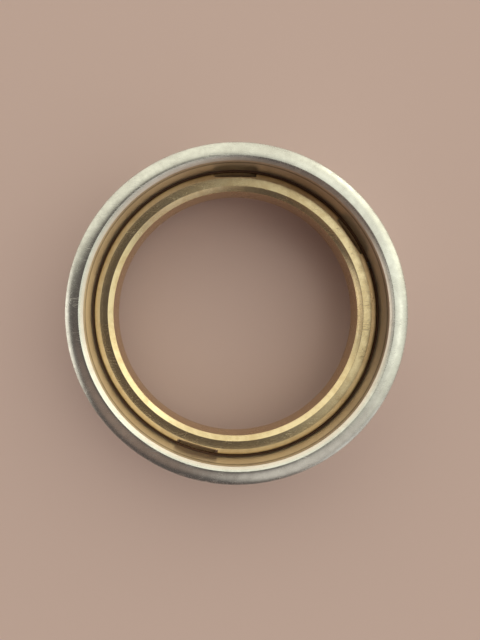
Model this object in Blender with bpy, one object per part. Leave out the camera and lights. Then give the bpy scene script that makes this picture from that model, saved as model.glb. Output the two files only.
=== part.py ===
"""A two-ring bayonet puzzle, worn on a finger or held in the hand.

A brass ring turns inside a silver-coloured steel ring. Three half-moon keys in the bore of the outer ring
reach into a groove round the inner ring, so the inner ring turns without end but can't be pulled out. Each
lip of the groove has three exit slots, spaced unevenly, so there is one angle at which the keys meet the
slots of a lip and the rings slide apart. The slots of the two lips lie at different angles.

Units are metres and +Z is up. The rings share the Z axis, and the outer ring stands on z = 0.
"""

import math

import bmesh
import bpy
from mathutils import Matrix

MM = 0.001

# The stack from the finger outwards
FINGER_BORE_DIAMETER = 18.5 * MM
INNER_WALL = 1.44 * MM
RUNNING_GAP = 0.13 * MM
OUTER_WALL = 1.38 * MM

# Outer ring
OUTER_HEIGHT = 7.0 * MM
OUTER_CHAMFER_RADIAL = 0.27 * MM
OUTER_CHAMFER_AXIAL = 0.27 * MM
OUTER_LAND = 0.12 * MM          # the flat that each end of the ring stands on
BEVEL_INNER_SLOPE = math.radians(4)     # of the rounded bevel, where it leaves the land
BEVEL_OUTER_SLOPE = math.radians(36)    # and where it meets the outer side
BARREL = 0.05 * MM              # how far the outer side swells at the middle

# Inner ring
INNER_HEIGHT = 2.45 * MM
SHOULDER_RADIAL = 0.47 * MM
SHOULDER_AXIAL = 0.33 * MM
FINGER_CHAMFER_RADIAL = 0.35 * MM
FINGER_CHAMFER_AXIAL = 0.33 * MM
SHOULDER_SLOPE = math.radians(29)       # from the end face to where its rounded edge starts
SHOULDER_EDGE = 0.06 * MM       # the width of that edge

# Keys, and the groove that they run in
KEY_DIAMETER = 3.0 * MM
KEY_THICKNESS = 0.70 * MM
KEY_SEAT_DEPTH = 0.90 * MM
KEY_SEAT_CLEARANCE = 0.03 * MM
KEY_OVERLAP = 0.33 * MM         # how far a key reaches past the lips of the groove
GROOVE_SIDE_CLEARANCE = 0.12 * MM
GROOVE_FLOOR_CLEARANCE = 0.14 * MM

# Exit slots in the lips of the groove, as angles from +X
EXIT_PATTERN = (0, 140, 196)
UPPER_EXIT_ANGLE = 254
LOWER_EXIT_ANGLE = 114
EXIT_SIDE_CLEARANCE = 0.08 * MM
EXIT_FLOOR_CLEARANCE = 0.08 * MM

# Slip rings
SLIP_WIDTH = 0.55 * MM
SLIP_RUNNING_CLEARANCE = 0.06 * MM
SLIP_SEAT_CLEARANCE = 0.05 * MM
SLIP_STANDOFF = 0.13 * MM       # from the side of the groove to the slip ring
SLIP_SPLIT = 0.50 * MM
UPPER_SPLIT_ANGLE = 20
LOWER_SPLIT_ANGLE = 200

# Fineness of the round shapes
TURN_STEPS = 72
BEVEL_STEPS = 6
BARREL_STEPS = 4                # along each half of the outer side
KEY_STEPS = 20
SHARP_ANGLE = math.radians(35)
CUTTER_MARGIN = 0.5 * MM        # how far a cutter runs past what it cuts

# Worked out from the sizes above
FINGER_RADIUS = FINGER_BORE_DIAMETER / 2
INNER_RADIUS = FINGER_RADIUS + INNER_WALL
BORE_RADIUS = INNER_RADIUS + RUNNING_GAP
OUTER_RADIUS = BORE_RADIUS + OUTER_WALL
MIDDLE_Z = OUTER_HEIGHT / 2
KEY_NOSE_RADIUS = INNER_RADIUS - KEY_OVERLAP
KEY_CENTRE_RADIUS = BORE_RADIUS + KEY_SEAT_DEPTH - KEY_DIAMETER / 2
GROOVE_RADIUS = KEY_NOSE_RADIUS - GROOVE_FLOOR_CLEARANCE
GROOVE_HALF_WIDTH = KEY_THICKNESS / 2 + GROOVE_SIDE_CLEARANCE
SLIP_RADIUS = INNER_RADIUS + SLIP_RUNNING_CLEARANCE
SLIP_BOTTOM = GROOVE_HALF_WIDTH + SLIP_STANDOFF      # heights above the middle plane
SLIP_TOP = INNER_HEIGHT / 2 - SHOULDER_AXIAL
SEAT_BOTTOM = SLIP_BOTTOM - SLIP_SEAT_CLEARANCE
SEAT_TOP = SLIP_TOP + SLIP_SEAT_CLEARANCE
SEAT_RADIUS = SLIP_RADIUS + SLIP_WIDTH + SLIP_SEAT_CLEARANCE


def clear_scene():
    for thing in list(bpy.data.objects):
        bpy.data.objects.remove(thing, do_unlink=True)


def material(name, colour, roughness, metallic):
    made = bpy.data.materials.new(name)
    made.use_nodes = True
    shader = made.node_tree.nodes["Principled BSDF"]
    shader.inputs["Base Color"].default_value = (*colour, 1)
    shader.inputs["Roughness"].default_value = roughness
    shader.inputs["Metallic"].default_value = metallic
    made.diffuse_color = (*colour, 1)
    return made


def add_object(name, mesh, parent=None):
    thing = bpy.data.objects.new(name, mesh)
    bpy.context.scene.collection.objects.link(thing)
    thing.parent = parent
    return thing


def mirrored(upper_half):
    """Completes an outline of (radius, height) points below the middle plane, where height is 0.

    The upper half runs up the bore, out over the end face and down the outer side.
    """
    return upper_half + [(radius, -height) for radius, height in reversed(upper_half) if height > 0]


def outline_mesh(name, outline):
    """The closed outline as a loop of edges in the XZ plane."""
    mesh = bpy.data.meshes.new(name)
    count = len(outline)
    edges = [(i, (i + 1) % count) for i in range(count)]
    mesh.from_pydata([(radius, 0, height) for radius, height in outline], edges, [])
    return mesh


def turned_ring(name, outline, finish, parent):
    """A whole ring, turned from an outline that runs down its outer side and up its bore."""
    ring = add_object(name, outline_mesh(name, outline), parent)
    turn = ring.modifiers.new("Turn", "SCREW")
    turn.angle = math.tau
    turn.steps = turn.render_steps = TURN_STEPS
    turn.use_merge_vertices = True
    turn.merge_threshold = 0.00001
    turn.use_smooth_shade = True
    ring.data.materials.append(finish)
    return ring


def smooth(thing):
    thing.data.shade_smooth()
    thing.data.set_sharp_from_angle(angle=SHARP_ANGLE)


def prism(name, outline, half_height):
    """A closed prism: an outline of (x, y) points, given anticlockwise, raised to both sides of z = 0."""
    bm = bmesh.new()
    base = bm.faces.new([bm.verts.new((x, y, -half_height)) for x, y in outline])
    raised = bmesh.ops.extrude_face_region(bm, geom=[base])
    top = [item for item in raised["geom"] if isinstance(item, bmesh.types.BMVert)]
    bmesh.ops.translate(bm, verts=top, vec=(0, 0, 2 * half_height))
    bmesh.ops.recalc_face_normals(bm, faces=bm.faces)
    mesh = bpy.data.meshes.new(name)
    bm.to_mesh(mesh)
    bm.free()
    return mesh


def place_round(thing, angle, height):
    """Turns a piece that was drawn along +X to its angle about the rings' axis, at its height."""
    thing.rotation_euler.z = math.radians(angle)
    thing.location.z = height


def cut(ring, name, mesh, angle, height, parent):
    cutter = add_object(name, mesh, parent)
    cutter.hide_render = True
    cutter.display_type = "WIRE"
    place_round(cutter, angle, height)
    step = ring.modifiers.new(name, "BOOLEAN")
    step.operation = "DIFFERENCE"
    step.solver = "EXACT"
    step.object = cutter


def half_moon(clearance, nose_x):
    """The outline of a disc from its outermost point back to a straight nose at x = nose_x."""
    radius = KEY_DIAMETER / 2 + clearance
    half_turn = math.acos((nose_x - KEY_CENTRE_RADIUS) / radius)
    points = []
    for i in range(KEY_STEPS + 1):
        angle = half_turn * (2 * i / KEY_STEPS - 1)
        points.append((KEY_CENTRE_RADIUS + radius * math.cos(angle), radius * math.sin(angle)))
    return points


def keyseat_outline():
    """The outline of the pocket that a key is pressed into: its disc with a clearance, open to the bore."""
    arc = half_moon(KEY_SEAT_CLEARANCE, KEY_CENTRE_RADIUS)
    mouth = KEY_NOSE_RADIUS - KEY_DIAMETER
    return [(mouth, arc[0][1])] + arc + [(mouth, arc[-1][1])]


def band_outline():
    """The rounded bevel and the barrelled outer side, from the end land down to the middle plane."""
    land = BORE_RADIUS + OUTER_CHAMFER_RADIAL + OUTER_LAND
    corner = OUTER_RADIUS - BARREL
    rounding = (corner - land) / (math.sin(BEVEL_OUTER_SLOPE) - math.sin(BEVEL_INNER_SLOPE))
    points = []
    for i in range(BEVEL_STEPS + 1):
        slope = BEVEL_INNER_SLOPE + (BEVEL_OUTER_SLOPE - BEVEL_INNER_SLOPE) * i / BEVEL_STEPS
        across = rounding * (math.sin(slope) - math.sin(BEVEL_INNER_SLOPE))
        drop = rounding * (math.cos(BEVEL_INNER_SLOPE) - math.cos(slope))
        points.append((land + across, OUTER_HEIGHT / 2 - drop))
    corner_height = points[-1][1]
    for i in range(1, BARREL_STEPS + 1):
        share = 1 - i / BARREL_STEPS
        points.append((OUTER_RADIUS - BARREL * share ** 2, corner_height * share))
    return points


def outer_outline():
    half = OUTER_HEIGHT / 2
    bore = [
        (BORE_RADIUS, SEAT_BOTTOM),
        (SEAT_RADIUS, SEAT_BOTTOM),
        (SEAT_RADIUS, SEAT_TOP),
        (BORE_RADIUS, SEAT_TOP),
        (BORE_RADIUS, half - OUTER_CHAMFER_AXIAL),
        (BORE_RADIUS + OUTER_CHAMFER_RADIAL, half),
    ]
    return mirrored(bore + band_outline())


def inner_outline():
    half = INNER_HEIGHT / 2
    face_inside = FINGER_RADIUS + FINGER_CHAMFER_RADIAL
    face_outside = INNER_RADIUS - SHOULDER_RADIAL
    slope_drop = (SHOULDER_RADIAL - SHOULDER_EDGE) * math.tan(SHOULDER_SLOPE)
    upper = [
        (FINGER_RADIUS, half - FINGER_CHAMFER_AXIAL),
        (face_inside, half),
        (face_outside, half),
        (INNER_RADIUS - SHOULDER_EDGE, half - slope_drop),
        (INNER_RADIUS, half - SHOULDER_AXIAL),
        (INNER_RADIUS, GROOVE_HALF_WIDTH),
        (GROOVE_RADIUS, GROOVE_HALF_WIDTH),
    ]
    return mirrored(upper)


def make_outer_ring(parent):
    steel = material("satin_steel", (0.62, 0.62, 0.58), 0.30, 1.0)
    ring = turned_ring("outer_ring", outer_outline(), steel, parent)
    ring.location.z = MIDDLE_Z
    pocket = prism("keyseat_cutter", keyseat_outline(), KEY_THICKNESS / 2 + KEY_SEAT_CLEARANCE)
    for number, offset in enumerate(EXIT_PATTERN, start=1):
        cut(ring, f"keyseat_{number}", pocket, LOWER_EXIT_ANGLE + offset, MIDDLE_Z, parent)


def make_keys(parent):
    steel = material("tempered_steel", (0.45, 0.34, 0.24), 0.40, 1.0)
    mesh = prism("key", half_moon(0, KEY_NOSE_RADIUS), KEY_THICKNESS / 2)
    mesh.materials.append(steel)
    for number, offset in enumerate(EXIT_PATTERN, start=1):
        key = add_object(f"key_{number}", mesh, parent)
        smooth(key)
        place_round(key, LOWER_EXIT_ANGLE + offset, MIDDLE_Z)


def split_ring(name, side, split_angle, finish, parent):
    """A slip ring, swept from one end of its split to the other. Side is 1 above the keys and -1 below."""
    low, high = sorted((side * SLIP_BOTTOM, side * SLIP_TOP))
    corners = [
        (SLIP_RADIUS, low),
        (SLIP_RADIUS + SLIP_WIDTH, low),
        (SLIP_RADIUS + SLIP_WIDTH, high),
        (SLIP_RADIUS, high),
    ]
    sweep = math.tau - SLIP_SPLIT / SLIP_RADIUS
    bm = bmesh.new()
    start = bm.faces.new([bm.verts.new((radius, 0, height)) for radius, height in corners])
    bmesh.ops.rotate(bm, verts=bm.verts, matrix=Matrix.Rotation((math.tau - sweep) / 2, 3, "Z"))
    bmesh.ops.spin(bm, geom=[start], cent=(0, 0, 0), axis=(0, 0, 1), angle=sweep, steps=TURN_STEPS)
    bmesh.ops.recalc_face_normals(bm, faces=bm.faces)
    mesh = bpy.data.meshes.new(name)
    bm.to_mesh(mesh)
    bm.free()
    mesh.materials.append(finish)
    ring = add_object(name, mesh, parent)
    smooth(ring)
    ring.rotation_euler.z = math.radians(split_angle)


def exit_slots(ring, side, first_angle, parent):
    """Cuts the three exit slots of one lip, from the middle of the groove out through the end face."""
    lip = "upper" if side > 0 else "lower"
    width = KEY_DIAMETER + 2 * EXIT_SIDE_CLEARANCE
    floor = KEY_NOSE_RADIUS - EXIT_FLOOR_CLEARANCE
    outside = INNER_RADIUS + CUTTER_MARGIN
    reach = INNER_HEIGHT / 2 + CUTTER_MARGIN
    outline = [(floor, -width / 2), (outside, -width / 2), (outside, width / 2), (floor, width / 2)]
    slot = prism(f"{lip}_exit_cutter", outline, reach / 2)
    for number, offset in enumerate(EXIT_PATTERN, start=1):
        cut(ring, f"{lip}_exit_{number}", slot, first_angle + offset, side * reach / 2, parent)


def make_inner_ring(parent):
    brass = material("polished_brass", (0.75, 0.55, 0.24), 0.22, 1.0)
    ring = turned_ring("inner_ring", inner_outline(), brass, parent)
    exit_slots(ring, 1, UPPER_EXIT_ANGLE, parent)
    exit_slots(ring, -1, LOWER_EXIT_ANGLE, parent)


def main():
    clear_scene()
    base = add_object("outer_ring_base", None)
    make_outer_ring(base)
    make_keys(base)

    turning = add_object("turning_axis", None, base)
    turning.location.z = MIDDLE_Z
    ptfe = material("bronze_filled_ptfe", (0.10, 0.05, 0.025), 0.5, 0.0)
    split_ring("slip_ring_upper", 1, UPPER_SPLIT_ANGLE, ptfe, turning)
    split_ring("slip_ring_lower", -1, LOWER_SPLIT_ANGLE, ptfe, turning)

    withdrawal = add_object("withdrawal_axis", None, turning)
    make_inner_ring(withdrawal)


main()
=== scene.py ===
"""The looks of a two-ring bayonet puzzle: a brass ring that turns inside a bevelled steel ring.

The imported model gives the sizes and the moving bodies. The sections below set up the room, the table and the
camera, and then make the puzzle's pieces in the order in which they go together. Lengths are in metres.
"""

import math
import random

import bmesh
import bpy
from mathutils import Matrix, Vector


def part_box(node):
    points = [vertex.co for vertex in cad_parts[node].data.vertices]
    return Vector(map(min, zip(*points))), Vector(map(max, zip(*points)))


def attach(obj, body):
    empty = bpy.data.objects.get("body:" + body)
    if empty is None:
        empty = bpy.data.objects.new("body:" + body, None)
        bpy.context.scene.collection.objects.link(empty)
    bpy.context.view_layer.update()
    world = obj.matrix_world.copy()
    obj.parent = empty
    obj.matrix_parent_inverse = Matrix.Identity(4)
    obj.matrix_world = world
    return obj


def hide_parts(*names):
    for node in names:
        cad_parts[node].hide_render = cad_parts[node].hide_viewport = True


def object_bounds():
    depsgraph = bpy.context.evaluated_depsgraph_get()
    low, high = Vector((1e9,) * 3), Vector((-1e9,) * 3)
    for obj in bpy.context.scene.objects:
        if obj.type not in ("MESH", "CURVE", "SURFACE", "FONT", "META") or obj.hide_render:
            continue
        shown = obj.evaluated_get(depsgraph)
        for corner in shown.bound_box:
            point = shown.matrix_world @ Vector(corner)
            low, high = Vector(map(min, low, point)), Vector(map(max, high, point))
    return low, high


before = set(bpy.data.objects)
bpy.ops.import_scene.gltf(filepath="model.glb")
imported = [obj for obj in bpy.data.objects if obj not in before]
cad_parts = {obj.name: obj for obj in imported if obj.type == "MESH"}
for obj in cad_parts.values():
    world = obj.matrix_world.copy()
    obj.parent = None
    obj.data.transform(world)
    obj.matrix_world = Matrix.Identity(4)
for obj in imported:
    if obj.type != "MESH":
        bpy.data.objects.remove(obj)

MM = 0.001
cad_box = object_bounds()


# ---------------------------------------------------------------------------------------------------------
# The room.
# Soft daylight from one broad side and from a low window behind, between paler and dimmer walls. It comes
# from a dome with no lamps, so polished metal shows a bright half and a dark half with smooth edges.
# ---------------------------------------------------------------------------------------------------------

def linear(hex_colour, strength=1.0):
    """An sRGB hex colour as linear RGBA, times a strength."""
    parts = [int(hex_colour[i:i + 2], 16) / 255 for i in (1, 3, 5)]
    amounts = [c / 12.92 if c <= 0.04045 else ((c + 0.055) / 1.055) ** 2.4 for c in parts]
    return [strength * amount for amount in amounts] + [1.0]


def add(tree, kind, sockets=None, **settings):
    """Adds a node with its settings, and fills its sockets with values or links from nodes or sockets."""
    node = tree.nodes.new("ShaderNode" + kind)
    for name, value in settings.items():
        setattr(node, name, value)
    for key, value in (sockets or {}).items():
        if isinstance(value, bpy.types.Node):
            value = next(output for output in value.outputs if output.enabled)
        if isinstance(value, bpy.types.NodeSocket):
            tree.links.new(value, node.inputs[key])
        else:
            node.inputs[key].default_value = value
    return node


def towards(compass, elevation=0):
    """A direction, from degrees clockwise from +Y and degrees above the table."""
    around, up = math.radians(compass), math.radians(elevation)
    return Vector((math.sin(around) * math.cos(up), math.cos(around) * math.cos(up), math.sin(up)))


# Each pale area: its compass bearing and elevation, the angles from its middle at which it starts to fade
# and has faded out, its colour and its strength.
PALE_AREAS = (
    (70, 56, 8, 38, "#fdffeb", 1.06),       # the window's upper part
    (58, 8, 5, 33, "#ffffe4", 1.50),        # its lower part
    (101, 23, 5, 32, "#fdffe9", 0.93),      # and its side
    (346, 2, 46, 72, "#fffee6", 1.05),      # the long pale wall beside it
    (152, 38, 4, 34, "#fff8e9", 0.64),      # a dimmer wall on its other side
    (135, -6, 5, 26, "#fdfff6", 0.92),      # and the pale foot of that wall
    (265, 0, 5, 31, "#fffbe9", 1.52),       # a second window, low behind
    (222, 46, 5, 31, "#ffd5b7", 0.21),      # the warm, dim side of the room
)

room = bpy.data.worlds.new("room")
bpy.context.scene.world = room
room.use_nodes = True
tree = room.node_tree
tree.nodes.clear()
direction = add(tree, "TexCoord").outputs["Generated"]
light = linear("#ffefe6", 0.10)[:3]
for compass, elevation, starts, ends, colour, strength in PALE_AREAS:
    middle = towards(compass, elevation)
    facing = add(tree, "VectorMath", {0: direction, 1: middle}, operation="DOT_PRODUCT")
    limits = {"From Min": math.cos(math.radians(ends)), "From Max": math.cos(math.radians(starts))}
    share = add(tree, "MapRange", {"Value": facing, **limits}, interpolation_type="SMOOTHSTEP")
    area = add(tree, "VectorMath", {0: linear(colour, strength)[:3], "Scale": share}, operation="SCALE")
    light = add(tree, "VectorMath", {0: light, 1: area}, operation="ADD")
daylight = add(tree, "Background", {"Color": light})
backdrop = add(tree, "Background", {"Color": linear("#dcd5cf")})
seen = add(tree, "LightPath").outputs["Is Camera Ray"]
mixed = add(tree, "MixShader", {0: seen, 1: daylight, 2: backdrop})
add(tree, "OutputWorld", {"Surface": mixed})


# ---------------------------------------------------------------------------------------------------------
# The table.
# A plain pale table top with a matt lacquer, which spreads the light with no highlight. It is large enough
# to fill every view.
# ---------------------------------------------------------------------------------------------------------

HALF_TABLE = 0.6
table_mesh = bpy.data.meshes.new("table")
corners = [(x * HALF_TABLE, y * HALF_TABLE, 0) for x, y in ((-1, -1), (1, -1), (1, 1), (-1, 1))]
table_mesh.from_pydata(corners, [], [(0, 1, 2, 3)])
table = bpy.data.objects.new("table", table_mesh)
bpy.context.scene.collection.objects.link(table)
lacquer = bpy.data.materials.new("matt_lacquer")
lacquer.use_nodes = True
lacquer.node_tree.nodes["Principled BSDF"].inputs["Base Color"].default_value = linear("#d9bebb")
lacquer.node_tree.nodes["Principled BSDF"].inputs["Roughness"].default_value = 0.9
table_mesh.materials.append(lacquer)


# ---------------------------------------------------------------------------------------------------------
# The camera.
# It looks straight down beside the rings' axis from close by, so the nearer steel rim looks larger than the
# brass ring below it.
# ---------------------------------------------------------------------------------------------------------

VIEW_HEIGHT = 44.8 * MM         # what the taller side of the picture takes in, at the rim
ABOVE_RIM = 31 * MM
BESIDE_AXIS = -1 * MM
lens = bpy.data.cameras.new("camera")
lens.sensor_width = 36
lens.lens = lens.sensor_width * ABOVE_RIM / VIEW_HEIGHT
lens.clip_start = 1 * MM
lens.shift_x, lens.shift_y = 0.0277, -0.0102        # frames the ring a little off the picture's middle
camera = bpy.data.objects.new("camera", lens)
camera.location = (BESIDE_AXIS, 0, cad_box[1][2] + ABOVE_RIM)
bpy.context.scene.collection.objects.link(camera)
bpy.context.scene.camera = camera
bpy.context.scene.view_settings.view_transform = "Standard"


# ---------------------------------------------------------------------------------------------------------
# The outer ring.
# Stainless steel, turned and then tumbled to a satin polish, with a rounded bevel outside and a bright
# chamfer at each end of its bore. The bore has a recess for each slip ring and a pocket for each key.
# ---------------------------------------------------------------------------------------------------------

OUTER_RADIUS, OUTER_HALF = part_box("outer_ring")[1].x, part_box("outer_ring")[1].z / 2
INNER_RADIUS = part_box("inner_ring")[1].x
INNER_HALF = (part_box("inner_ring")[1].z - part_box("inner_ring")[0].z) / 2
MIDDLE = OUTER_HALF                 # the height of the plane that every piece is even about
RUNNING_GAP = 0.13 * MM             # between the two rings
BORE_RADIUS = INNER_RADIUS + RUNNING_GAP
CHAMFER = 0.27 * MM                 # across and down, at each end of the bore
LAND = 0.12 * MM                    # the flat between the chamfer and the bevel
BEVEL_SLOPES = (math.radians(4), math.radians(36))      # of the rounded bevel, at its two edges
BEVEL_STEPS = 16
BARREL = 0.05 * MM                  # how far the outside bulges between the bevels
BARREL_STEPS = 8
CORNER_FILLET, EDGE_FILLET, RECESS_FILLET = 0.05 * MM, 0.03 * MM, 0.02 * MM

SLIP_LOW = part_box("slip_ring_upper")[0].z - MIDDLE
SLIP_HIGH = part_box("slip_ring_upper")[1].z - MIDDLE
SLIP_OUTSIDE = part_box("slip_ring_upper")[1].x
SLIP_CLEARANCE = 0.05 * MM

EXIT_PATTERN = (0, 140, 196)        # degrees from the first key or exit slot of a set to each of them
LOWER_EXIT_ANGLE, UPPER_EXIT_ANGLE = 114, 254
KEY_RADIUS = 1.5 * MM               # of the disc that a key is cut from
KEY_HALF = 0.35 * MM                # half its thickness
KEY_SEAT_DEPTH = 0.90 * MM
KEY_CENTRE = BORE_RADIUS + KEY_SEAT_DEPTH - KEY_RADIUS
KEY_NOSE = INNER_RADIUS - 0.33 * MM
SEAT_CLEARANCE = 0.03 * MM
SEAT_STEPS = 32


def filleted(corners, steps=5):
    """An outline from (radius, height, fillet) corners, with each fillet drawn as a short arc."""
    outline = []
    for i, (radius, height, fillet) in enumerate(corners):
        here = Vector((radius, height))
        if not fillet:
            outline.append(here)
            continue
        back = (Vector(corners[i - 1][:2]) - here).normalized()
        ahead = (Vector(corners[(i + 1) % len(corners)][:2]) - here).normalized()
        half_angle = back.angle(ahead) / 2
        reach = fillet / math.tan(half_angle)
        centre = here + (back + ahead).normalized() * fillet / math.sin(half_angle)
        first, last = here + back * reach - centre, here + ahead * reach - centre
        turn = first.angle_signed(last)
        for step in range(steps + 1):
            angle = -turn * step / steps
            outline.append(centre + Vector((first.x * math.cos(angle) - first.y * math.sin(angle),
                                            first.x * math.sin(angle) + first.y * math.cos(angle))))
    return outline


def mirrored(upper_half):
    """Completes an outline below the middle plane; the upper half runs up the bore and down the outside."""
    return upper_half + [(r, -h, fillet) for r, h, fillet in reversed(upper_half) if h > 0]


def piece_from(name, bm):
    """Closes a mesh in the making and puts it in the scene as an object."""
    bmesh.ops.recalc_face_normals(bm, faces=bm.faces)
    mesh = bpy.data.meshes.new(name)
    bm.to_mesh(mesh)
    bm.free()
    piece = bpy.data.objects.new(name, mesh)
    bpy.context.scene.collection.objects.link(piece)
    return piece


def turned(name, outline, sweep=math.tau, turns=600):
    """Turns a closed outline round the rings' axis, to a whole ring or, for a smaller sweep, a split one."""
    bm = bmesh.new()
    whole = sweep == math.tau
    rows = []
    for step in range(turns if whole else turns + 1):
        angle = sweep * step / turns
        rows.append([bm.verts.new((p.x * math.cos(angle), p.x * math.sin(angle), p.y)) for p in outline])
    for step in range(turns):
        near, far = rows[step], rows[(step + 1) % len(rows)]
        for i in range(len(outline)):
            j = (i + 1) % len(outline)
            bm.faces.new((near[i], near[j], far[j], far[i]))
    if not whole:
        bm.faces.new(reversed(rows[0]))
        bm.faces.new(rows[-1])
    piece = piece_from(name, bm)
    piece.location.z = MIDDLE
    return piece


def prism(name, outline, half_height, angle, height):
    """A closed prism over an outline of (x, y) points drawn along +X, turned to its angle at its height."""
    bm = bmesh.new()
    base = bm.faces.new([bm.verts.new((x, y, -half_height)) for x, y in outline])
    raised = bmesh.ops.extrude_face_region(bm, geom=[base])
    top = [item for item in raised["geom"] if isinstance(item, bmesh.types.BMVert)]
    bmesh.ops.translate(bm, verts=top, vec=(0, 0, 2 * half_height))
    piece = piece_from(name, bm)
    piece.rotation_euler.z = math.radians(angle)
    piece.location.z = height
    return piece


def cut_away(piece, cutters):
    """Cuts the cutters out of a piece, applies the result and removes them."""
    for cutter in cutters:
        step = piece.modifiers.new(cutter.name, "BOOLEAN")
        step.operation = "DIFFERENCE"
        step.object = cutter
    bpy.context.view_layer.update()
    result = bpy.data.meshes.new_from_object(piece.evaluated_get(bpy.context.evaluated_depsgraph_get()))
    result.name = piece.name
    piece.modifiers.clear()
    piece.data = result
    for cutter in cutters:
        bpy.data.objects.remove(cutter)


def settle(piece):
    """Moves a piece's placing into its mesh, so its own coordinates are the rings' coordinates."""
    bpy.context.view_layer.update()
    piece.data.transform(piece.matrix_world)
    piece.matrix_world.identity()


def smooth(piece, sharp_degrees=32):
    """Shades a piece smooth, apart from the edges that turn more sharply than this."""
    piece.data.shade_smooth()
    piece.data.set_sharp_from_angle(angle=math.radians(sharp_degrees))


def outer_outline():
    """The section of the outer ring: bore, recesses, chamfers, bevels and a slightly barrelled outside."""
    recess = SLIP_OUTSIDE + SLIP_CLEARANCE
    low, high = SLIP_LOW - SLIP_CLEARANCE, SLIP_HIGH + SLIP_CLEARANCE
    upper = [
        (BORE_RADIUS, low, RECESS_FILLET),
        (recess, low, 0),
        (recess, high, 0),
        (BORE_RADIUS, high, RECESS_FILLET),
        (BORE_RADIUS, OUTER_HALF - CHAMFER, EDGE_FILLET),
        (BORE_RADIUS + CHAMFER, OUTER_HALF, EDGE_FILLET),
    ]
    land = BORE_RADIUS + CHAMFER + LAND
    first, last = BEVEL_SLOPES
    rounding = (OUTER_RADIUS - BARREL - land) / (math.sin(last) - math.sin(first))
    for i in range(BEVEL_STEPS + 1):
        slope = first + (last - first) * i / BEVEL_STEPS
        across = rounding * (math.sin(slope) - math.sin(first))
        drop = rounding * (math.cos(first) - math.cos(slope))
        upper.append((land + across, OUTER_HALF - drop, CORNER_FILLET if i == BEVEL_STEPS else 0))
    corner_height = upper[-1][1]
    for i in range(1, BARREL_STEPS + 1):
        share = 1 - i / BARREL_STEPS
        upper.append((OUTER_RADIUS - BARREL * share ** 2, corner_height * share, 0))
    return filleted(mirrored(upper))


def key_pockets():
    """What a small disc cutter takes out of the bore for each key, open towards the middle."""
    cutters = []
    radius = KEY_RADIUS + SEAT_CLEARANCE
    inside = KEY_NOSE - KEY_RADIUS
    arc = [(KEY_CENTRE + radius * math.cos(a), radius * math.sin(a))
           for a in (math.pi * (i / SEAT_STEPS - 0.5) for i in range(SEAT_STEPS + 1))]
    outline = [(inside, -radius)] + arc + [(inside, radius)]
    for number, offset in enumerate(EXIT_PATTERN, start=1):
        cutters.append(prism(f"key_pocket_{number}", outline, KEY_HALF + SEAT_CLEARANCE,
                             LOWER_EXIT_ANGLE + offset, MIDDLE))
    return cutters


def knocks():
    """Shallow dents from use, most of them near the edges: (compass, height, size, depth) each."""
    chance = random.Random(7)
    found = [(190, 6.5 * MM, 0.30 * MM, 0.030 * MM), (186, 6.2 * MM, 0.22 * MM, 0.022 * MM)]
    for _ in range(70):
        height = chance.choice((0.75, 0.95, 1.2, 3.5, 5.8, 6.05, 6.25, 6.5))
        found.append((chance.uniform(0, 360), (height + chance.uniform(-0.3, 0.3)) * MM,
                      chance.uniform(0.15, 0.55) * MM, chance.uniform(0.005, 0.020) * MM))
    return found


def dent(piece, dents):
    """Presses dents into the outside of a ring."""
    for compass, height, size, depth in dents:
        outward = towards(compass).xy
        for vertex in piece.data.vertices:
            flat, radius = vertex.co.xy, vertex.co.xy.length
            if abs(vertex.co.z - height) < size and flat.dot(outward) > 0:
                reach = math.hypot((flat - outward * radius).length, vertex.co.z - height) / size
                if reach < 1 and radius > BORE_RADIUS + CHAMFER:
                    inward = Vector((-vertex.co.x, -vertex.co.y, MIDDLE - vertex.co.z)).normalized()
                    vertex.co += inward * depth * (1 - reach * reach) ** 2


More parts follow.
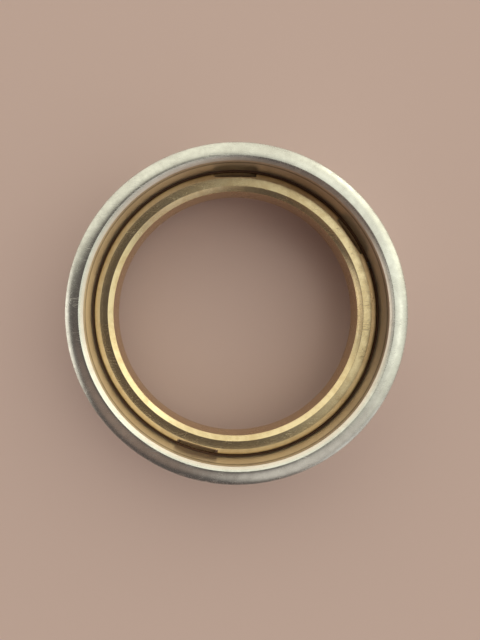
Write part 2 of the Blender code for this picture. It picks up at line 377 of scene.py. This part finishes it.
def metal(name, tints, roughness, bore, waviness, line_depth, dark_lines_and_gap_shade=()):
    """A turned and polished metal, with its marks at their sizes in mm.

    Tumbling leaves a satin grain of 0.15 mm, hand polishing leaves low waves about 1 mm long and duller
    patches of 0.5 mm, and handling leaves smudges of 3 mm and hairline scratches 2 to 4 mm long. Turning
    leaves lines 0.02 mm apart, drawn here at 0.05 and 0.15 mm, because finer ones would not show; they are
    deepest in the bore. The bore is what lies within its limit in mm, and has its own tint, which can also
    carry a painted reflection, and roughness. It can hold narrow dark brown bands, each as (mm from the
    middle plane, half width, strength); a band down in a gap is painted shade.
    """
    bore_limit, bore_tint_and_reflection, bore_roughness = bore
    bore_fade, hair, patch_fade, dark_band_core = 0.15, 0.014, 0.05, 0.02
    mean_wear = 0.19        # what the marks add to the roughness on average
    relief_height = 0.004 * MM
    made = bpy.data.materials.new(name)
    made.use_nodes = True
    tree = made.node_tree
    shader = tree.nodes["Principled BSDF"]
    shader.inputs["Metallic"].default_value = 1.0
    place = add(tree, "TexCoord").outputs["Object"]
    place_mm = add(tree, "VectorMath", {0: place, "Scale": 1 / MM}, operation="SCALE")
    height = add(tree, "SeparateXYZ", {0: place_mm}).outputs["Z"]
    flat = add(tree, "VectorMath", {0: place_mm, 1: (1, 1, 0)}, operation="MULTIPLY")
    radius = add(tree, "VectorMath", {0: flat}, operation="LENGTH")
    around = add(tree, "VectorMath", {0: flat}, operation="NORMALIZE")

    def total(start, *weighted):
        """A starting value plus patterns, each times its weight."""
        for pattern, weight in weighted:
            start = add(tree, "Math", {0: pattern, 1: weight, 2: start}, operation="MULTIPLY_ADD")
        return start

    def lines(per_mm, lengthwise):
        """Turned lines: fine across the tool's path and long around the ring, with no seam."""
        slow = add(tree, "VectorMath", {0: around, "Scale": lengthwise}, operation="SCALE")
        parts = add(tree, "SeparateXYZ", {0: slow}).outputs
        across = add(tree, "Math", {0: radius, 1: per_mm}, operation="MULTIPLY")
        up = add(tree, "Math", {0: height, 1: per_mm}, operation="MULTIPLY")
        where = add(tree, "CombineXYZ", {"X": parts["X"], "Y": parts["Y"], "Z": across})
        return add(tree, "TexNoise", {"Vector": where, "W": up, "Scale": 1.0, "Detail": 2.0},
                   noise_dimensions="4D")

    def scratches(turn, length, width, kept):
        """Hairline scratches: the contour lines of a stretched noise, broken up by a patchy mask."""
        stretch = (1 / length, 1 / width, 1 / width)
        laid = add(tree, "Mapping", {"Vector": place_mm, "Rotation": turn, "Scale": stretch})
        wave = add(tree, "TexNoise", {"Vector": laid, "Scale": 1.0, "Detail": 1.0})
        from_line = add(tree, "Math", {0: wave, 1: 0.5}, operation="SUBTRACT")
        from_line = add(tree, "Math", {0: from_line}, operation="ABSOLUTE")
        line = add(tree, "MapRange", {"Value": from_line, "From Min": hair, "From Max": 0.0},
                   interpolation_type="SMOOTHSTEP")
        cloud = add(tree, "TexNoise", {"Vector": place_mm, "Scale": 0.9, "Detail": 2.0})
        limits = {"From Min": 1 - kept, "From Max": 1 - kept + patch_fade}
        mask = add(tree, "MapRange", {"Value": cloud, **limits}, interpolation_type="SMOOTHSTEP")
        return add(tree, "Math", {0: line, 1: mask}, operation="MULTIPLY")

    limits = {"From Min": bore_limit, "From Max": bore_limit + bore_fade}
    outside = add(tree, "MapRange", {"Value": radius, **limits}, interpolation_type="SMOOTHSTEP")
    inside = add(tree, "Math", {0: 1.0, 1: outside}, operation="SUBTRACT")
    turned_lines = total(0.0, (lines(22, 3), 0.4), (lines(7, 2), 0.6))
    marks = total(0.0, (scratches((0.3, 0.2, 0.7), 3.0, 0.35, 0.50), 1.0),
                  (scratches((1.1, 0.4, 2.3), 2.2, 0.30, 0.45), 1.0),
                  (scratches((0.2, 1.3, 1.5), 4.0, 0.40, 0.45), 1.0))
    satin = add(tree, "TexNoise", {"Vector": place_mm, "Scale": 7, "Detail": 3.0})
    patches = add(tree, "TexNoise", {"Vector": place_mm, "Scale": 2.2, "Detail": 3.0})
    waves = add(tree, "TexNoise", {"Vector": place_mm, "Scale": 1.1, "Detail": 1.0})
    smudge = add(tree, "TexNoise", {"Vector": place_mm, "Scale": 0.35, "Detail": 3.0})

    clouding = total(0.0, (smudge, 0.6), (patches, 0.4))
    clouding = add(tree, "MapRange", {"Value": clouding, "From Min": 0.38, "From Max": 0.64},
                   interpolation_type="SMOOTHSTEP")
    base = add(tree, "Mix", {0: clouding, 6: linear(tints[0]), 7: linear(tints[1])}, data_type="RGBA")
    # The bore's tint: the steel's warmer bore tint is a painted warm reflection, not the steel's own colour.
    base = add(tree, "Mix", {0: inside, 6: base, 7: linear(bore_tint_and_reflection)}, data_type="RGBA")
    from_middle = add(tree, "Math", {0: height, 1: MIDDLE / MM}, operation="SUBTRACT")
    from_middle = add(tree, "Math", {0: from_middle}, operation="ABSOLUTE")
    # Narrow dark brown bands on the bore: a band down in the gap between the rings is painted shade.
    for distance, half_width, strength in dark_lines_and_gap_shade:
        off = add(tree, "Math", {0: from_middle, 1: distance}, operation="SUBTRACT")
        off = add(tree, "Math", {0: off}, operation="ABSOLUTE")
        limits = {"From Min": half_width, "From Max": dark_band_core, "To Max": strength}
        dark_band = add(tree, "MapRange", {"Value": off, **limits}, interpolation_type="SMOOTHSTEP")
        dark_band = add(tree, "Math", {0: dark_band, 1: inside}, operation="MULTIPLY")
        base = add(tree, "Mix", {0: dark_band, 6: base, 7: linear("#4c3322")}, data_type="RGBA")
    wear = total(roughness - mean_wear, (satin, 0.14), (patches, 0.11), (smudge, 0.12), (marks, 0.08),
                 (inside, bore_roughness - roughness))
    bore_lines = add(tree, "Math", {0: turned_lines, 1: inside}, operation="MULTIPLY")
    relief = total(0.0, (bore_lines, 1.2), (satin, 0.45), (waves, 2.2 * waviness), (patches, 0.7 * waviness),
                   (marks, -0.5 * waviness), (turned_lines, line_depth))
    bump = add(tree, "Bump", {"Height": relief, "Strength": 1.0, "Distance": relief_height})
    tree.links.new(base.outputs[2], shader.inputs["Base Color"])
    tree.links.new(wear.outputs[0], shader.inputs["Roughness"])
    tree.links.new(bump.outputs[0], shader.inputs["Normal"])
    return made


# Satin stainless steel: a soft, slightly broken highlight along the bevel, a neutral grey with duller
# clouds, and a rougher bore tinted warmer as a painted reflection, with a narrow dark brown line painted
# below the chamfer and a dark brown band of painted shade in the gap.
satin_steel = metal(
    # The bore's warmer tint, #e6dcd4, is a painted warm reflection.
    "satin_stainless_steel", ("#dcdcd9", "#cbcac7"), 0.25, (BORE_RADIUS / MM + 0.08, "#e6dcd4", 0.35),
    # The band at 0.92 mm is painted shade in the gap; the one at 2.80 mm is a dark line below the chamfer.
    waviness=1.0, line_depth=0.7, dark_lines_and_gap_shade=((2.80, 0.20, 0.60), (0.92, 0.24, 0.75)))
outer_ring = turned("steel_outer_ring", outer_outline())
cut_away(outer_ring, key_pockets())
settle(outer_ring)
dent(outer_ring, knocks())
smooth(outer_ring)
outer_ring.data.materials.append(satin_steel)
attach(outer_ring, "outer_body")
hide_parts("outer_ring")


# ---------------------------------------------------------------------------------------------------------
# The keys.
# Three half-moon keys of hardened steel, pressed into pockets in the bore. Their straight noses stand in
# the groove of the brass ring, and their edges are tumbled round.
# ---------------------------------------------------------------------------------------------------------

KEY_STEPS = 40
KEY_ROUNDING = 0.03 * MM


def key(number, angle):
    """One key: a disc cut off straight at its nose."""
    half_turn = math.acos((KEY_NOSE - KEY_CENTRE) / KEY_RADIUS)
    outline = [(KEY_CENTRE + KEY_RADIUS * math.cos(a), KEY_RADIUS * math.sin(a))
               for a in (half_turn * (2 * i / KEY_STEPS - 1) for i in range(KEY_STEPS + 1))]
    made = prism(f"steel_key_{number}", outline, KEY_HALF, angle, MIDDLE)
    settle(made)
    edge = made.modifiers.new("Edge", "BEVEL")
    edge.width = KEY_ROUNDING
    edge.segments = 3
    edge.limit_method = "ANGLE"
    edge.angle_limit = math.radians(50)
    smooth(made, 45)
    made.data.materials.append(tempered_steel_and_slot_shade)
    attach(made, "outer_body")
    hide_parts(f"key_{number}")


# Hardened tool steel, tempered brown: a thin brown oxide over a ground surface, half matt, with no bore.
# Its brown also stands in for the shade and the reflected brass seen down the exit slot: painted shade
# and painted reflection.
tempered_steel_and_slot_shade = metal("tempered_tool_steel_and_slot_shade", ("#c0a283", "#a08265"), 0.40, (0.0, "#c0a283", 0.40),
                       waviness=0.5, line_depth=0.3)
for number, offset in enumerate(EXIT_PATTERN, start=1):
    key(number, LOWER_EXIT_ANGLE + offset)


# ---------------------------------------------------------------------------------------------------------
# The slip rings.
# Two split rings of bronze-filled PTFE, sprung into recesses in the bore. They float there and keep the
# brass ring central, so the gap between the two metal rings is even. Their dark brown, seen down the gap,
# also serves as painted shade there.
# ---------------------------------------------------------------------------------------------------------

SLIP_SPLIT = 0.50 * MM
SLIP_INSIDE = INNER_RADIUS + 0.06 * MM
SLIP_WIDTH = 0.55 * MM
SLIP_ROUNDING = 0.04 * MM
SLIP_TURNS = 240
UPPER_SPLIT_ANGLE, LOWER_SPLIT_ANGLE = 20, 200


def bronze_filled_ptfe():
    """Cut PTFE with bronze powder in it: dark brown and waxy, with faint specks where the bronze is denser.

    The powder is 0.05 mm fine. Its specks are drawn at 0.17 mm, because finer ones would not show.
    """
    specks_per_mm = 6
    made = bpy.data.materials.new("bronze_filled_ptfe")
    made.use_nodes = True
    tree = made.node_tree
    shader = tree.nodes["Principled BSDF"]
    shader.inputs["IOR"].default_value = 1.48
    place = add(tree, "TexCoord").outputs["Object"]
    speck = add(tree, "TexNoise", {"Vector": place, "Scale": specks_per_mm / MM, "Detail": 2.0})
    # The plastic's dark brown, seen down the gap between the rings, also serves as painted shade.
    tone = add(tree, "Mix", {0: speck, 6: linear("#4a2c18"), 7: linear("#5c3a22")}, data_type="RGBA")
    rough = add(tree, "MapRange", {"Value": speck, "To Min": 0.38, "To Max": 0.6})
    bump = add(tree, "Bump", {"Height": speck, "Distance": 0.003 * MM})
    tree.links.new(tone.outputs[2], shader.inputs["Base Color"])
    tree.links.new(rough.outputs[0], shader.inputs["Roughness"])
    tree.links.new(bump.outputs[0], shader.inputs["Normal"])
    return made


def slip_ring(name, low, high, split_angle):
    """One split ring between two heights from the middle plane."""
    outline = filleted([
        (SLIP_INSIDE, low, SLIP_ROUNDING),
        (SLIP_INSIDE, high, SLIP_ROUNDING),
        (SLIP_INSIDE + SLIP_WIDTH, high, SLIP_ROUNDING),
        (SLIP_INSIDE + SLIP_WIDTH, low, SLIP_ROUNDING),
    ])
    split = SLIP_SPLIT / SLIP_INSIDE
    ring = turned(f"ptfe_{name}", outline, math.tau - split, SLIP_TURNS)
    ring.rotation_euler.z = math.radians(split_angle) + split / 2
    settle(ring)
    smooth(ring)
    ring.data.materials.append(slip_plastic_and_gap_shade)
    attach(ring, "slip_rings")
    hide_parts(name)


# Dark brown slip rings: their colour also serves as painted shade in the gap.
slip_plastic_and_gap_shade = bronze_filled_ptfe()
slip_ring("slip_ring_upper", SLIP_LOW, SLIP_HIGH, UPPER_SPLIT_ANGLE)
slip_ring("slip_ring_lower", -SLIP_HIGH, -SLIP_LOW, LOWER_SPLIT_ANGLE)


# ---------------------------------------------------------------------------------------------------------
# The inner ring.
# Brass, turned and polished, with a chamfered finger edge, a flat face and a bevelled shoulder. A groove
# round its outside takes the keys, and each lip of the groove has three milled exit slots.
# ---------------------------------------------------------------------------------------------------------

FINGER_RADIUS = 9.25 * MM
FINGER_CHAMFER_RADIAL, FINGER_CHAMFER_AXIAL = 0.35 * MM, 0.33 * MM
SHOULDER_RADIAL, SHOULDER_AXIAL = 0.47 * MM, 0.33 * MM
SHOULDER_SLOPE = math.radians(29)       # as far as its rounded outer edge
SHOULDER_EDGE = 0.035 * MM              # the width of that edge
BRASS_FILLET = 0.03 * MM
GROOVE_RADIUS = KEY_NOSE - 0.14 * MM
GROOVE_HALF = KEY_HALF + 0.12 * MM
SLOT_CLEARANCE = 0.08 * MM              # beside and under a key in its exit slot
PAST_THE_RING = 1 * MM                  # how far the slots' cutters run out of the brass


def inner_outline():
    """The section of the inner ring, from its bore over its face and shoulder to its groove."""
    face_inside, face_outside = FINGER_RADIUS + FINGER_CHAMFER_RADIAL, INNER_RADIUS - SHOULDER_RADIAL
    edge_drop = (SHOULDER_RADIAL - SHOULDER_EDGE) * math.tan(SHOULDER_SLOPE)
    upper = [
        (FINGER_RADIUS, INNER_HALF - FINGER_CHAMFER_AXIAL, BRASS_FILLET),
        (face_inside, INNER_HALF, BRASS_FILLET),
        (face_inside + BRASS_FILLET, INNER_HALF, 0),
        (face_outside - BRASS_FILLET, INNER_HALF, 0),
        (face_outside, INNER_HALF, BRASS_FILLET),
        (INNER_RADIUS - SHOULDER_EDGE, INNER_HALF - edge_drop, BRASS_FILLET),
        (INNER_RADIUS, INNER_HALF - SHOULDER_AXIAL, BRASS_FILLET),
        (INNER_RADIUS, GROOVE_HALF, BRASS_FILLET),
        (GROOVE_RADIUS, GROOVE_HALF, 0),
    ]
    return filleted(mirrored(upper))


def exit_slots():
    """What the mill takes out of both lips of the groove, each slot wide and deep enough for a key."""
    cutters = []
    half_width = KEY_RADIUS + SLOT_CLEARANCE
    floor, outside = KEY_NOSE - SLOT_CLEARANCE, INNER_RADIUS + PAST_THE_RING
    half_reach = (INNER_HALF + PAST_THE_RING) / 2
    outline = [(floor, -half_width), (outside, -half_width), (outside, half_width), (floor, half_width)]
    for lip, side, first in (("upper", 1, UPPER_EXIT_ANGLE), ("lower", -1, LOWER_EXIT_ANGLE)):
        for number, offset in enumerate(EXIT_PATTERN, start=1):
            cutters.append(prism(f"{lip}_exit_{number}", outline, half_reach, first + offset,
                                 MIDDLE + side * half_reach))
    return cutters


# Polished brass: a sharper highlight than the steel's, a pale gold, faintly tarnished in clouds, with the
# turned lines still showing on its faces and in its bore.
polished_brass = metal(
    "polished_brass", ("#e6d3ae", "#d6bf98"), 0.21, (FINGER_RADIUS / MM - 0.05, "#d8c09c", 0.26),
    waviness=0.35, line_depth=0.9)
inner_ring = turned("brass_inner_ring", inner_outline())
cut_away(inner_ring, exit_slots())
settle(inner_ring)
smooth(inner_ring)
inner_ring.data.materials.append(polished_brass)
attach(inner_ring, "inner_body")
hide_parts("inner_ring")
